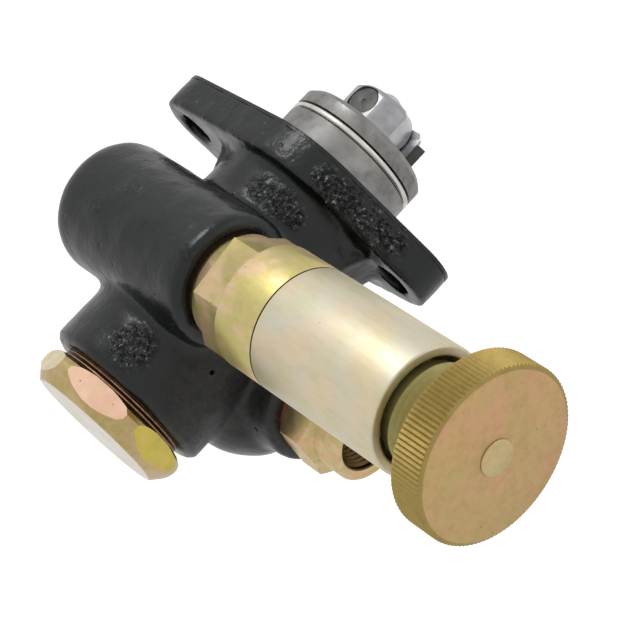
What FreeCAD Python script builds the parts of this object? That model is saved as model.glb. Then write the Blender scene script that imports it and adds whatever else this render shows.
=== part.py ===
import FreeCAD, Part
import math
import os
import re
import Sketcher
from FreeCAD import Vector, Rotation

# Fuel lift pump, worked by a cam through a roller tappet, with a hand primer.
# Frame: origin at the centre of the flange's mounting face, +Y along the tappet
# towards the cam, +Z along the hand primer towards its knob. Millimetres.

doc = FreeCAD.newDocument("fuel_lift_pump")
sheet = doc.addObject("Spreadsheet::Sheet", "Sizes")
parts = {}

# Driving dimensions: name, value and meaning.
SIZES = [
    # flange and spigot
    ("flange_thick", 9.0, "thickness of the mounting flange"),
    ("flange_round", 23.5, "radius of the flange around the spigot"),
    ("ear_round", 9.0, "radius of each flange ear"),
    ("bolt_bore", 4.5, "radius of each bolt hole"),
    ("bolt_reach_low", 34.0, "bolt hole below the primer, from the tappet axis"),
    ("bolt_reach_high", 28.5, "bolt hole beside the primer, from the tappet axis"),
    ("bolt_angle", 20.8, "turn of the bolt line about the tappet axis, degrees"),
    ("spigot_round", 17.3, "radius of the turned spigot"),
    ("spigot_reach", 13.6, "length of the spigot in front of the flange"),
    ("spigot_bevel", 1.2, "bevel on the spigot's end"),
    ("ring_groove_start", 7.2, "ring groove, from the mounting face"),
    ("ring_groove_wide", 2.1, "width of the ring groove"),
    ("ring_groove_deep", 1.6, "depth of the ring groove"),
    ("ring_wire", 0.85, "section radius of the ring in the groove"),
    ("rib_wide", 13.0, "width of the rib behind each ear"),
    ("rib_rise", 8.0, "height of the rib behind each ear"),
    ("rib_root", 4.0, "depth of the rib's root in the barrel"),
    ("rib_crest", 3.0, "width of the rib's crest at the barrel"),
    ("rib_gap", 0.5, "rib's end before the bolt hole"),
    ("rib_sunk", 1.0, "depth of the rib in the flange"),
    # barrel of the pump
    ("barrel_round", 20.8, "outer radius of the pump barrel"),
    ("barrel_reach", 68.5, "from the mounting face to the plug seat"),
    ("barrel_bevel", 1.5, "bevel at the barrel's plug end"),
    ("bore_round", 10.0, "radius of the piston bore"),
    ("bore_start", 21.0, "inner end of the piston bore, from the mounting face"),
    ("guide_bore", 3.53, "radius of the push rod's guide bore"),
    # roller tappet
    ("tappet_round", 10.0, "radius of the roller tappet"),
    ("tappet_front", 23.0, "front end of the tappet, from the mounting face"),
    ("tappet_long", 31.0, "length of the tappet"),
    ("tappet_lift", 6.0, "stroke of the tappet"),
    ("tappet_slot_wide", 8.4, "slot for the roller"),
    ("slot_play", 0.6, "play around the roller in its slot"),
    ("tappet_edge", 0.6, "bevel on the tappet's rear edge"),
    ("tappet_nose", 1.4, "bevel on the tappet's front edge"),
    ("tappet_wall", 3.5, "wall of the tappet's hollow"),
    ("rod_seat", 19.0, "seat of the push rod, from the tappet's front end"),
    ("hollow_play", 1.0, "hollow of the tappet in front of the push rod's end"),
    ("roller_round", 6.9, "radius of the roller"),
    ("roller_wide", 8.0, "width of the roller"),
    ("pin_round", 4.0, "radius of the roller pin"),
    ("pin_sunk", 0.8, "depth of the roller pin's ends below the tappet's side"),
    ("pin_dimple", 0.6, "depth of the centre mark in the pin's ends"),
    ("pin_place", 18.4, "roller pin axis, from the mounting face"),
    ("running_gap", 0.04, "radial clearance of a running fit"),
    ("joint_gap", 0.03, "radial clearance of a pressed or sealed joint"),
    ("fine_edge", 0.4, "bevel on the finest turned edges"),
    ("small_edge", 0.6, "bevel on small turned edges"),
    ("thread_edge", 0.8, "bevel at the start of a thread"),
    ("key_wide", 3.0, "width of the tappet's guide key"),
    ("key_sunk", 1.6, "depth of the guide key in the tappet"),
    ("key_play", 0.3, "play of the guide key in its way"),
    ("key_way_start", 3.0, "inner end of the key way, from the mounting face"),
    ("key_reach", 12.0, "outer face of the guide key, from the tappet axis"),
    ("key_long", 7.0, "length of the guide key"),
    ("key_end", 21.0, "front end of the guide key, from the mounting face"),
    ("key_angle", 46.0, "direction of the guide key, from +X towards +Z"),
    # push rod, piston, spring and plug
    ("rod_round", 3.5, "radius of the push rod"),
    ("piston_long", 20.0, "length of the pump piston"),
    ("piston_cup_round", 8.0, "radius of the cup in the piston"),
    ("piston_cup_deep", 12.0, "depth of the cup in the piston"),
    ("piston_rest", 23.0, "front end of the piston at rest, from the mounting face"),
    ("coil_round", 6.7, "mean radius of the piston spring"),
    ("coil_wire", 0.8, "wire radius of the piston spring"),
    ("plug_hex", 36.0, "across flats of the plug"),
    ("plug_corner", 20.1, "radius that the plug's corners are turned to"),
    ("plug_bevel", 2.6, "height of the bevel on the plug's face"),
    ("plug_foot_bevel", 1.5, "height of the bevel on the plug's seat side"),
    ("plug_turn", 0.6, "turn of the plug's hexagon, degrees"),
    ("plug_head", 7.8, "height of the plug's hexagon"),
    ("plug_thread", 13.0, "radius of the plug's thread"),
    ("plug_shank", 10.0, "length of the plug's threaded shank"),
    ("plug_cup_round", 8.4, "radius of the spring pocket in the plug"),
    ("plug_cup_floor", 4.0, "metal between spring pocket and the plug's face"),
    ("gasket_thick", 1.5, "thickness of each copper gasket"),
    ("plug_gasket_round", 16.4, "outer radius of the plug's gasket"),
    ("gasket_play", 0.1, "play of a gasket around its thread"),
    # suction boss
    ("suction_place_x", -19.0, "suction boss and primer axis"),
    ("suction_back", 31.8, "suction boss and primer axis, from the plug seat"),
    ("suction_round", 15.8, "outer radius of the suction boss"),
    ("suction_foot", -29.6, "blind end of the suction boss"),
    ("suction_mouth", 20.5, "seat of the primer on the suction boss"),
    ("suction_end_round", 6.0, "rounding of the blind end"),
    ("mouth_round", 2.5, "rounding of a boss at its mouth"),
    ("valve_floor", -2.0, "seat of the suction valve"),
    ("valve_chamber", 7.4, "radius of both valve chambers"),
    ("valve_port", 3.5, "radius of the port under a valve"),
    ("inlet_bore", 7.0, "radius of the inlet's threaded port"),
    ("inlet_deep", 13.0, "depth of the inlet's threaded port"),
    ("plate_round", 6.3, "radius of a valve plate"),
    ("plate_thick", 2.0, "thickness of a valve plate"),
    ("plate_lift", 1.5, "lift of a valve plate"),
    ("valve_coil", 4.5, "mean radius of a valve spring"),
    ("valve_wire", 0.45, "wire radius of a valve spring"),
    # pressure boss and outlet
    ("outlet_place_x", 18.2, "pressure boss and outlet axis"),
    ("outlet_back", 27.9, "pressure boss and outlet axis, from the plug seat"),
    ("bulb_round", 17.4, "radius of the bulb under the pressure boss"),
    ("bulb_middle", 7.0, "height of the bulb's centre"),
    ("bulb_out", 0.8, "bulb's centre outside the outlet axis"),
    ("bulb_back", 3.9, "bulb's centre behind the outlet axis"),
    ("outlet_foot", 2.0, "lower end of the pressure boss's neck"),
    ("outlet_foot_round", 5.0, "rounding of the neck's lower end"),
    ("outlet_neck", 13.9, "radius of the pressure boss at its mouth"),
    ("outlet_mouth", 28.8, "seat of the outlet connector"),
    ("outlet_mouth_round", 1.6, "rounding of the pressure boss's mouth"),
    ("outlet_floor", 7.5, "seat of the pressure valve"),
    ("outlet_hex", 22.0, "across flats of the outlet connector"),
    ("outlet_hex_high", 9.0, "height of the outlet connector's hexagon"),
    ("outlet_tube", 9.7, "outer radius of the connector's round end"),
    ("outlet_tube_long", 7.3, "length of the connector's round end"),
    ("outlet_port", 7.0, "radius of the connector's threaded port"),
    ("outlet_port_floor", 2.0, "floor of the connector's port, from its seat"),
    ("outlet_turn", 59.0, "turn of the connector's hexagon, degrees"),
    ("outlet_thread", 7.3, "radius of the connector's own thread"),
    ("outlet_shank", 9.0, "length of the connector's threaded shank"),
    ("outlet_way", 3.0, "radius of the way through the connector"),
    ("passage_round", 2.2, "radius of a drilled fuel passage"),
    ("low_way_x", 16.0, "side of the two lower passages, from the tappet axis"),
    ("suction_way_z", 3.0, "height of the suction passage"),
    ("outlet_way_z", -1.5, "height of the lower pressure passage"),
    ("top_way_x", 12.5, "side of the upper pressure passage"),
    ("top_way_z", 10.5, "height of the upper pressure passage"),
    ("top_way_long", 16.0, "length of the upper pressure passage"),
    ("outlet_way_front", 5.0, "lower pressure passage, in front of the outlet axis"),
    ("way_margin", 5.0, "passage behind the piston's full stroke"),
    ("cross_way", 8.0, "length of a cross passage into the bore"),
    # hand primer
    ("primer_neck", 12.4, "radius of the primer's collar on its gasket"),
    ("primer_collar", 2.2, "height of the primer's collar"),
    ("primer_body", 14.5, "outer radius of the primer"),
    ("primer_flat", 12.4, "distance of a spanner flat from the primer's axis"),
    ("primer_flat_top", 33.0, "upper end of the spanner flats"),
    ("primer_turn", 8.0, "turn of the spanner flats, degrees"),
    ("rod_floor", 1.9, "metal of the plunger under the rod's foot"),
    ("rod_play", 0.05, "play of the rod's foot in the plunger"),
    ("primer_joint", 45.4, "joint between primer base and barrel"),
    ("primer_mouth", 84.6, "open end of the primer barrel"),
    ("primer_bore", 9.5, "radius of the primer's pump bore"),
    ("primer_floor", 29.0, "floor of the primer's pump bore"),
    ("primer_thread", 12.1, "radius of the barrel's threaded mouth"),
    ("primer_thread_deep", 13.0, "depth of the barrel's threaded mouth"),
    ("primer_spigot", 12.0, "radius of the base's spigot in the barrel"),
    ("primer_spigot_high", 5.0, "height of the base's spigot in the barrel"),
    ("primer_shank_round", 7.3, "radius of the base's thread"),
    ("primer_shank", 10.0, "length of the base's thread"),
    ("primer_way", 3.0, "radius of the way through the base"),
    ("plunger_foot", 40.0, "lower face of the primer's plunger at rest"),
    ("plunger_high", 7.5, "height of the primer's plunger"),
    ("plunger_gap", 0.06, "clearance of the plunger in its bore"),
    ("seal_wire", 1.0, "section radius of the plunger's seal"),
    ("primer_rod_round", 3.5, "radius of the primer's rod"),
    ("rod_foot_round", 5.2, "radius of the rod's foot in the plunger"),
    ("rod_foot_high", 2.5, "height of the rod's foot"),
    ("rivet_round", 4.1, "radius of the rod's riveted end"),
    ("rivet_high", 0.5, "height of the rod's riveted end"),
    ("knob_round", 19.5, "outer radius of the knob"),
    ("knob_gap", 11.1, "lower face of the knob, above the barrel's mouth at rest"),
    ("knob_thick", 8.9, "thickness of the knob's head"),
    ("knob_bevel", 1.3, "bevel around the knob's face"),
    ("knob_edge", 0.8, "bevel around the knob's lower face"),
    ("knob_boss_round", 11.5, "radius of the knob's threaded boss"),
    ("knob_boss_sunk", 1.6, "depth of the knob's boss in the barrel's mouth"),
    ("knob_thread_pitch", 1.5, "pitch of the ridges on the knob's boss"),
    ("knob_thread_deep", 0.75, "depth of the ridges on the knob's boss"),
    ("knurl_count", 112, "number of knurls around the knob"),
    ("knurl_deep", 0.45, "depth of a knurl"),
]

AXES = {
    "+Z": Rotation(),
    "-Z": Rotation(Vector(1, 0, 0), 180),
    "+Y": Rotation(Vector(1, 0, 0), -90),
    "-Y": Rotation(Vector(1, 0, 0), 90),
    "+X": Rotation(Vector(0, 1, 0), 90),
    "-X": Rotation(Vector(0, 1, 0), -90),
}


# Play between a spring's end and its seat.
SEAT_GAP = 0.05

# Places that follow from other sizes.
SUCTION_Y = "suction_back - barrel_reach"
OUTLET_Y = "outlet_back - barrel_reach"
KNOB_FOOT = "primer_mouth + knob_gap"
KNOB_FACE = "primer_mouth + knob_gap + knob_thick"
KNOB_BOSS_FOOT = "primer_mouth - knob_boss_sunk"

ALIASES = {name for name, value, meaning in SIZES}


def fill_sheet():
    for row, (name, value, meaning) in enumerate(SIZES, start=1):
        sheet.set("A%d" % row, meaning)
        sheet.set("B%d" % row, str(value))
        sheet.setAlias("B%d" % row, name)
    doc.recompute()


def size(name):
    return float(sheet.get(name))


def value(text):
    """Work out a sum of named sizes and numbers, such as 'a + b*2 - 1'."""
    total = 0.0
    sign = 1.0
    for word in str(text).split():
        if word in ("+", "-"):
            sign = 1.0 if word == "+" else -1.0
            continue
        product = sign
        for factor in word.split("*"):
            product *= size(factor) if factor in ALIASES else float(factor)
        total += product
        sign = 1.0
    return total


def linked(text):
    """Turn a sum of named sizes into an expression on the sheet's cells."""
    return re.sub(r"[a-z_]+", lambda found: "Sizes." + found.group(), str(text))


def bind(item, **sums):
    for name, text in sums.items():
        item.setExpression(name, linked(text))


def settle(item, axis, at):
    """Point an object along an axis and tie its place to the sheet."""
    item.Placement.Rotation = AXES[axis] if isinstance(axis, str) else axis
    for letter, text in zip("xyz", at):
        item.setExpression("Placement.Base." + letter, linked(text))


def cylinder(radius, length, axis, at):
    item = doc.addObject("Part::Cylinder", "cylinder")
    bind(item, Radius=radius, Height=length)
    settle(item, axis, at)
    return item


def ball(radius, at):
    item = doc.addObject("Part::Sphere", "ball")
    bind(item, Radius=radius)
    settle(item, "+Z", at)
    return item


def block(wide, deep, high, at, turn=None):
    item = doc.addObject("Part::Box", "block")
    bind(item, Length=wide, Width=deep, Height=high)
    settle(item, turn or Rotation(), at)
    return item


def hexagon(flats, length, axis, at, turn=0.0):
    item = doc.addObject("Part::Prism", "hexagon")
    item.Polygon = 6
    item.setExpression("Circumradius", "(%s)/sqrt(3)" % linked(flats))
    bind(item, Height=length)
    settle(item, AXES[axis] * Rotation(Vector(0, 0, 1), turn), at)
    return item


def ring(middle, section, axis, at):
    item = doc.addObject("Part::Torus", "ring")
    bind(item, Radius1=middle, Radius2=section)
    settle(item, axis, at)
    return item


def joined(items):
    item = doc.addObject("Part::MultiFuse", "joined")
    item.Shapes = items
    return item


def cut(base, tools):
    """Take tools away from a base, one after another."""
    for tool in tools:
        item = doc.addObject("Part::Cut", "cut")
        item.Base = base
        item.Tool = tool
        base = item
    return base


def common(first, second):
    item = doc.addObject("Part::Common", "common")
    item.Base = first
    item.Tool = second
    return item


def origin_plane(body, role):
    return next(plane for plane in body.Origin.OriginFeatures if plane.Role == role)


def turned(outline, axis, at):
    """Turn a closed outline of (radius, height) sums about an axis."""
    body = doc.addObject("PartDesign::Body", "turned")
    sketch = body.newObject("Sketcher::SketchObject", "outline")
    sketch.AttachmentSupport = [(origin_plane(body, "XZ_Plane"), "")]
    sketch.MapMode = "FlatFace"
    points = [Vector(value(radius), value(high), 0) for radius, high in outline]
    for number, point in enumerate(points):
        sketch.addGeometry(Part.LineSegment(point, points[(number + 1) % len(points)]))
    for number in range(len(points)):
        after = (number + 1) % len(points)
        sketch.addConstraint(Sketcher.Constraint("Coincident", number, 2, after, 1))
    for number, (radius, high) in enumerate(outline):
        for kind, text in (("DistanceX", radius), ("DistanceY", high)):
            place = sketch.addConstraint(Sketcher.Constraint(kind, -1, 1, number, 1, value(text)))
            sketch.setExpression("Constraints[%d]" % place, linked(text))
    turn = body.newObject("PartDesign::Revolution", "turn")
    turn.Profile = sketch
    turn.ReferenceAxis = (sketch, ["V_Axis"])
    turn.Angle = 360
    sketch.Visibility = False
    settle(body, axis, at)
    doc.recompute()
    return body


def round_rim(body, radius, high, amount):
    """Round the rim of a turned body that lies at a given radius and height."""
    solid = body.Tip
    found = []
    for number, edge in enumerate(solid.Shape.Edges, start=1):
        if not isinstance(edge.Curve, Part.Circle):
            continue
        if abs(edge.Curve.Radius - value(radius)) < 0.01 and abs(edge.Curve.Center.z - value(high)) < 0.01:
            found.append("Edge%d" % number)
    if not found:
        raise ValueError("no rim at radius %s, height %s" % (radius, high))
    rim = body.newObject("PartDesign::Fillet", "rim")
    rim.Base = (solid, found)
    rim.setExpression("Radius", linked(amount))
    body.Tip = rim
    doc.recompute()


def keep(name, item):
    item.Label = name
    parts[name] = item
    return item


def direction(reach, turn):
    """Return the X and Z of a point at a reach from the tappet axis; turn is from +Z towards +X."""
    return reach * math.sin(math.radians(turn)), reach * math.cos(math.radians(turn))


def ear_places():
    high = direction(size("bolt_reach_high"), size("bolt_angle"))
    low = direction(-size("bolt_reach_low"), size("bolt_angle"))
    return high, low


def flange_plate():
    """The flange: ears around both bolt holes, joined by tangents to the middle."""
    body = doc.addObject("PartDesign::Body", "flange")
    sketch = body.newObject("Sketcher::SketchObject", "flange_outline")
    sketch.AttachmentSupport = [(origin_plane(body, "XZ_Plane"), "")]
    sketch.MapMode = "FlatFace"
    middle, ear = size("flange_round"), size("ear_round")
    outline = []
    for side, reach in ((1, size("bolt_reach_high")), (-1, size("bolt_reach_low"))):
        lean = math.degrees(math.asin((middle - ear) / reach))
        heading = 90.0 if side > 0 else 270.0
        centre = Vector(0, side * reach, 0)
        start, end = heading - 90 + lean, heading + 90 - lean
        outline.append((centre, ear, start, end))
        outline.append((Vector(), middle, end, end + 2 * lean))
    corners = []
    for centre, radius, start, end in outline:
        circle = Part.Circle(centre, Vector(0, 0, 1), radius)
        sketch.addGeometry(Part.ArcOfCircle(circle, math.radians(start), math.radians(end)))
        corners.append([centre + heading_vector(angle) * radius for angle in (start, end)])
    for number in range(len(outline)):
        after = (number + 1) % len(outline)
        sketch.addGeometry(Part.LineSegment(corners[number][1], corners[after][0]))
        line = sketch.GeometryCount - 1
        sketch.addConstraint(Sketcher.Constraint("Tangent", number, 2, line, 1))
        sketch.addConstraint(Sketcher.Constraint("Tangent", line, 2, after, 1))
    pin_flange_outline(sketch)
    pad = body.newObject("PartDesign::Pad", "plate")
    pad.Profile = sketch
    pad.setExpression("Length", "Sizes.flange_thick")
    body.Placement.Rotation = Rotation(Vector(0, 1, 0), size("bolt_angle"))
    doc.recompute()
    if body.Shape.BoundBox.YMax > 1e-6:
        pad.Reversed = True
        doc.recompute()
    return body


def heading_vector(angle):
    return Vector(math.cos(math.radians(angle)), math.sin(math.radians(angle)), 0)


def pin_flange_outline(sketch):
    """Fix the four arcs of the flange: ear, middle, ear, middle."""
    for arc, name, place in ((0, "ear_round", "bolt_reach_high"), (2, "ear_round", "bolt_reach_low")):
        radius = sketch.addConstraint(Sketcher.Constraint("Radius", arc, size(name)))
        sketch.setExpression("Constraints[%d]" % radius, "Sizes." + name)
        sketch.addConstraint(Sketcher.Constraint("PointOnObject", arc, 3, -2))
        side = 1 if arc == 0 else -1
        reach = sketch.addConstraint(Sketcher.Constraint("DistanceY", -1, 1, arc, 3, side * size(place)))
        sketch.setExpression("Constraints[%d]" % reach, "%d*Sizes.%s" % (side, place))
    for arc in (1, 3):
        sketch.addConstraint(Sketcher.Constraint("Coincident", arc, 3, -1, 1))
    radius = sketch.addConstraint(Sketcher.Constraint("Radius", 1, size("flange_round")))
    sketch.setExpression("Constraints[%d]" % radius, "Sizes.flange_round")
    sketch.addConstraint(Sketcher.Constraint("Equal", 1, 3))


def ear_rib(turn):
    """A wedge that runs from the barrel out to an ear, behind the flange."""
    body = doc.addObject("PartDesign::Body", "rib")
    sketch = body.newObject("Sketcher::SketchObject", "rib_outline")
    sketch.AttachmentSupport = [(origin_plane(body, "YZ_Plane"), "")]
    sketch.MapMode = "FlatFace"
    root, tip = value("barrel_round - rib_root"), value("bolt_reach_high - bolt_bore - rib_gap")
    back, rise = value("rib_sunk - flange_thick"), value("0 - flange_thick - rib_rise")
    crest = root + size("rib_crest")
    points = [Vector(back, root, 0), Vector(back, tip, 0), Vector(rise, crest, 0), Vector(rise, root, 0)]
    for number, point in enumerate(points):
        sketch.addGeometry(Part.LineSegment(point, points[(number + 1) % len(points)]))
    for number in range(len(points)):
        sketch.addConstraint(Sketcher.Constraint("Coincident", number, 2, (number + 1) % len(points), 1))
    pad = body.newObject("PartDesign::Pad", "rib_pad")
    pad.Profile = sketch
    pad.setExpression("Length", "Sizes.rib_wide")
    pad.Midplane = True
    body.Placement.Rotation = Rotation(Vector(0, 1, 0), turn)
    return body


def casting():
    """The outside of the housing, before it is bored."""
    barrel = turned([
        ("0", "0"), ("barrel_round", "0"), ("barrel_round", "barrel_reach - barrel_bevel"),
        ("barrel_round - barrel_bevel", "barrel_reach"), ("0", "barrel_reach"),
    ], "-Y", ("0", "0", "0"))
    spigot = turned([
        ("0", "-1"), ("spigot_round", "-1"), ("spigot_round", "ring_groove_start"),
        ("spigot_round - ring_groove_deep", "ring_groove_start"),
        ("spigot_round - ring_groove_deep", "ring_groove_start + ring_groove_wide"),
        ("spigot_round", "ring_groove_start + ring_groove_wide"),
        ("spigot_round", "spigot_reach - spigot_bevel"),
        ("spigot_round - spigot_bevel", "spigot_reach"), ("0", "spigot_reach"),
    ], "+Y", ("0", "0", "0"))
    suction = turned([
        ("0", "suction_foot"), ("suction_round", "suction_foot"),
        ("suction_round", "suction_mouth"), ("0", "suction_mouth"),
    ], "+Z", ("suction_place_x", SUCTION_Y, "0"))
    round_rim(suction, "suction_round", "suction_foot", "suction_end_round")
    round_rim(suction, "suction_round", "suction_mouth", "mouth_round")
    outlet = turned([
        ("0", "outlet_foot"), ("outlet_neck", "outlet_foot"),
        ("outlet_neck", "outlet_mouth"), ("0", "outlet_mouth"),
    ], "+Z", ("outlet_place_x", OUTLET_Y, "0"))
    round_rim(outlet, "outlet_neck", "outlet_foot", "outlet_foot_round")
    round_rim(outlet, "outlet_neck", "outlet_mouth", "outlet_mouth_round")
    bulb = ball("bulb_round", ("outlet_place_x + bulb_out", OUTLET_Y + " - bulb_back", "bulb_middle"))
    ribs = [ear_rib(size("bolt_angle")), ear_rib(size("bolt_angle") + 180)]
    return joined([flange_plate(), barrel, spigot, suction, bulb, outlet] + ribs)


def housing_bores():
    """Everything that is bored, drilled or tapped out of the casting."""
    suction_x, outlet_x = "suction_place_x", "outlet_place_x"
    axis_back = "tappet_long - tappet_front + tappet_lift + 1"
    bores = [
        cylinder("tappet_round + running_gap", axis_back + " + spigot_reach + 1", "-Y",
                 ("0", "spigot_reach + 1", "0")),
        cylinder("guide_bore", "bore_start + 1", "-Y", ("0", "0", "0")),
        cylinder("bore_round", "barrel_reach - bore_start + 1", "-Y", ("0", "-1*bore_start", "0")),
        cylinder("plug_thread", "plug_shank + 1.5", "-Y", ("0", "-1*barrel_reach + plug_shank + 0.5", "0")),
        cylinder("valve_chamber", "suction_mouth - valve_floor + 1", "+Z",
                 (suction_x, SUCTION_Y, "valve_floor")),
        cylinder("valve_port", "valve_floor - suction_foot", "+Z",
                 (suction_x, SUCTION_Y, "suction_foot + 1")),
        cylinder("inlet_bore", "inlet_deep + 1", "+Z", (suction_x, SUCTION_Y, "suction_foot - 1")),
        cylinder("valve_chamber", "outlet_mouth - outlet_floor + 1", "+Z",
                 (outlet_x, OUTLET_Y, "outlet_floor")),
        cylinder("valve_port", "outlet_floor + 5", "+Z", (outlet_x, OUTLET_Y, "-4")),
    ]
    for x, z in ear_places():
        hole = cylinder("bolt_bore", "flange_thick + rib_rise + 3", "-Y", ("0", "1", "0"))
        hole.setExpression("Placement.Base.x", None)
        hole.setExpression("Placement.Base.z", None)
        hole.Placement.Base = Vector(x, 1, z)
        bores.append(hole)
    return bores + passages() + [key_way()]


def passages():
    """Fuel ways between the valve chambers and both ends of the piston bore."""
    low = "0 - piston_rest - piston_long - tappet_lift - way_margin"
    reach = "piston_long + tappet_lift"
    left, right = "0 - low_way_x - passage_round*0.7", "low_way_x + passage_round*0.7"
    front, end = OUTLET_Y + " + outlet_way_front", OUTLET_Y + " + top_way_long"
    return [
        cylinder("passage_round", reach, "-Y", ("0 - low_way_x", SUCTION_Y, "suction_way_z")),
        cylinder("passage_round", "cross_way", "+X", (left, low, "suction_way_z")),
        cylinder("passage_round", reach + " - cross_way", "-Y", ("low_way_x", front, "outlet_way_z")),
        cylinder("passage_round", "cross_way", "-X", (right, low, "outlet_way_z")),
        cylinder("passage_round", "top_way_long", "+Y", ("top_way_x", OUTLET_Y, "top_way_z")),
        cylinder("passage_round", "top_way_x", "-X", ("top_way_x + passage_round*0.7", end, "top_way_z")),
    ]


def key_way():
    """The slot in the spigot's bore that keeps the tappet from turning."""
    turn = Rotation(Vector(0, 1, 0), -size("key_angle"))
    way = block("key_reach + key_play", "spigot_reach + 1", "key_wide + key_play", ("0", "0", "0"), turn)
    place_beside_axis(way, turn, Vector(0, 0, -value("key_wide + key_play") / 2), size("key_way_start"))
    return way


def place_beside_axis(item, turn, offset, along):
    """Put a turned block beside the tappet axis, starting at a distance along it."""
    for letter in "xyz":
        item.setExpression("Placement.Base." + letter, None)
    base = turn.multVec(offset)
    item.Placement.Base = Vector(base.x, along, base.z)


def build_housing():
    keep("pump_housing", cut(casting(), housing_bores()))
    keep("spigot_ring", ring(
        "spigot_round - ring_groove_deep + ring_wire", "ring_wire", "+Y",
        ("0", "ring_groove_start + ring_groove_wide*0.5", "0")))


def build_tappet():
    shell = turned([
        ("0", "0"), ("tappet_round - tappet_edge", "0"), ("tappet_round", "tappet_edge"),
        ("tappet_round", "tappet_long - tappet_nose"), ("tappet_round - tappet_nose", "tappet_long"),
        ("0", "tappet_long"),
    ], "+Y", ("0", "tappet_front - tappet_long", "0"))
    half_slot = "tappet_slot_wide*0.5"
    slot_deep = "tappet_front - pin_place + roller_round + slot_play"
    slot = block("tappet_slot_wide", slot_deep + " + 1", "tappet_round*2 + 2",
                 ("-1*" + half_slot, "pin_place - roller_round - slot_play", "-1*tappet_round - 1"))
    bore = cylinder("pin_round + running_gap", "tappet_round*2 + 2", "+X",
                    ("-1*tappet_round - 1", "pin_place", "0"))
    hollow = cylinder("tappet_round - tappet_wall", "tappet_long - rod_seat + hollow_play", "-Y",
                      ("0", "tappet_front - rod_seat", "0"))
    turn = Rotation(Vector(0, 1, 0), -size("key_angle"))
    seat = block("key_reach", "key_long", "key_wide", ("0", "0", "0"), turn)
    base = Vector(value("tappet_round - key_sunk"), 0, -size("key_wide") / 2)
    place_beside_axis(seat, turn, base, value("key_end - key_long"))
    keep("tappet_body", cut(shell, [slot, bore, hollow, seat]))

    key = block("key_reach - tappet_round + key_sunk", "key_long", "key_wide", ("0", "0", "0"), turn)
    place_beside_axis(key, turn, base, value("key_end - key_long"))
    keep("tappet_guide_key", key)

    keep("tappet_roller", turned([
        ("pin_round + running_gap", "0"), ("roller_round - 0.5", "0"), ("roller_round", "0.5"),
        ("roller_round", "roller_wide - 0.5"), ("roller_round - 0.5", "roller_wide"),
        ("pin_round + running_gap", "roller_wide"),
    ], "+X", ("-1*roller_wide*0.5", "pin_place", "0")))
    pin_long = "tappet_round*2 - pin_sunk*2"
    keep("roller_pin", turned([
        ("pin_dimple", "0"), ("pin_round - fine_edge", "0"), ("pin_round", "fine_edge"),
        ("pin_round", pin_long + " - fine_edge"), ("pin_round - fine_edge", pin_long), ("pin_dimple", pin_long),
        ("0", pin_long + " - pin_dimple"), ("0", "pin_dimple"),
    ], "+X", ("pin_sunk - tappet_round", "pin_place", "0")))


def coil(name, radius, wire, reach, turns, axis, at):
    """A helical spring that fills the reach between its two seats."""
    start = value(wire) + SEAT_GAP
    rise = value(reach) - 2 * start
    helix = Part.makeHelix(rise / turns, rise, value(radius))
    helix.translate(Vector(0, 0, start))
    section = Part.Wire(Part.makeCircle(value(wire), Vector(value(radius), 0, start), Vector(0, 1, 0)))
    item = doc.addObject("Part::Feature", name)
    item.Shape = Part.Wire(helix.Edges).makePipeShell([section], True, True)
    settle(item, axis, at)
    return keep(name, item)


def build_drive():
    """Push rod, piston, spring and plug, in line behind the tappet."""
    rod_front = "tappet_front - rod_seat"
    keep("push_rod", cylinder("rod_round", "piston_rest + " + rod_front, "-Y", ("0", rod_front, "0")))
    keep("pump_piston", turned([
        ("0", "0"), ("bore_round - 1", "0"), ("bore_round - running_gap", "1"),
        ("bore_round - running_gap", "piston_long - 1"), ("bore_round - 1", "piston_long"),
        ("piston_cup_round", "piston_long"), ("piston_cup_round", "piston_long - piston_cup_deep"),
        ("0", "piston_long - piston_cup_deep"),
    ], "-Y", ("0", "-1*piston_rest", "0")))
    cup_floor = "piston_rest - piston_long + piston_cup_deep"
    reach = "barrel_reach + gasket_thick + plug_head - plug_cup_floor - " + cup_floor
    coil("piston_spring", "coil_round", "coil_wire", reach, 9, "-Y", ("0", "-1*" + cup_floor, "0"))
    plug = turned([
        ("0", "plug_head"), ("plug_hex*0.5 - 1", "plug_head"), ("plug_corner", "plug_head - plug_bevel"),
        ("plug_corner", "plug_foot_bevel"), ("plug_hex*0.5 - 0.4", "0"), ("plug_thread", "0"),
        ("plug_thread", "-1*gasket_thick - plug_shank + 1"),
        ("plug_thread - 1", "-1*gasket_thick - plug_shank"),
        ("plug_cup_round", "-1*gasket_thick - plug_shank"), ("plug_cup_round", "plug_head - plug_cup_floor"),
        ("0", "plug_head - plug_cup_floor"),
    ], "-Y", ("0", "-1*barrel_reach - gasket_thick", "0"))
    prism = hexagon("plug_hex", "plug_head + gasket_thick + plug_shank", "-Y",
                    ("0", "plug_shank - barrel_reach", "0"), size("plug_turn"))
    keep("piston_plug", common(plug, prism))
    keep("plug_gasket", turned([
        ("plug_thread + gasket_play", "0"), ("plug_gasket_round", "0"),
        ("plug_gasket_round", "gasket_thick"), ("plug_thread + gasket_play", "gasket_thick"),
    ], "-Y", ("0", "-1*barrel_reach", "0")))


def build_valve(name, x, y, floor, ceiling):
    """A valve plate on its seat, and the spring that holds it there."""
    keep(name + "_valve_plate", turned([
        ("0", "0"), ("plate_round", "0"), ("plate_round", "plate_thick - small_edge"),
        ("valve_coil - valve_wire - 0.4", "plate_thick - small_edge"),
        ("valve_coil - valve_wire - 0.8", "plate_thick + small_edge"), ("0", "plate_thick + small_edge"),
    ], "+Z", (x, y, floor)))
    reach = "%s - %s - plate_thick + small_edge" % (ceiling, floor)
    coil(name + "_valve_spring", "valve_coil", "valve_wire", reach, 5, "+Z",
         (x, y, floor + " + plate_thick - small_edge"))


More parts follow.
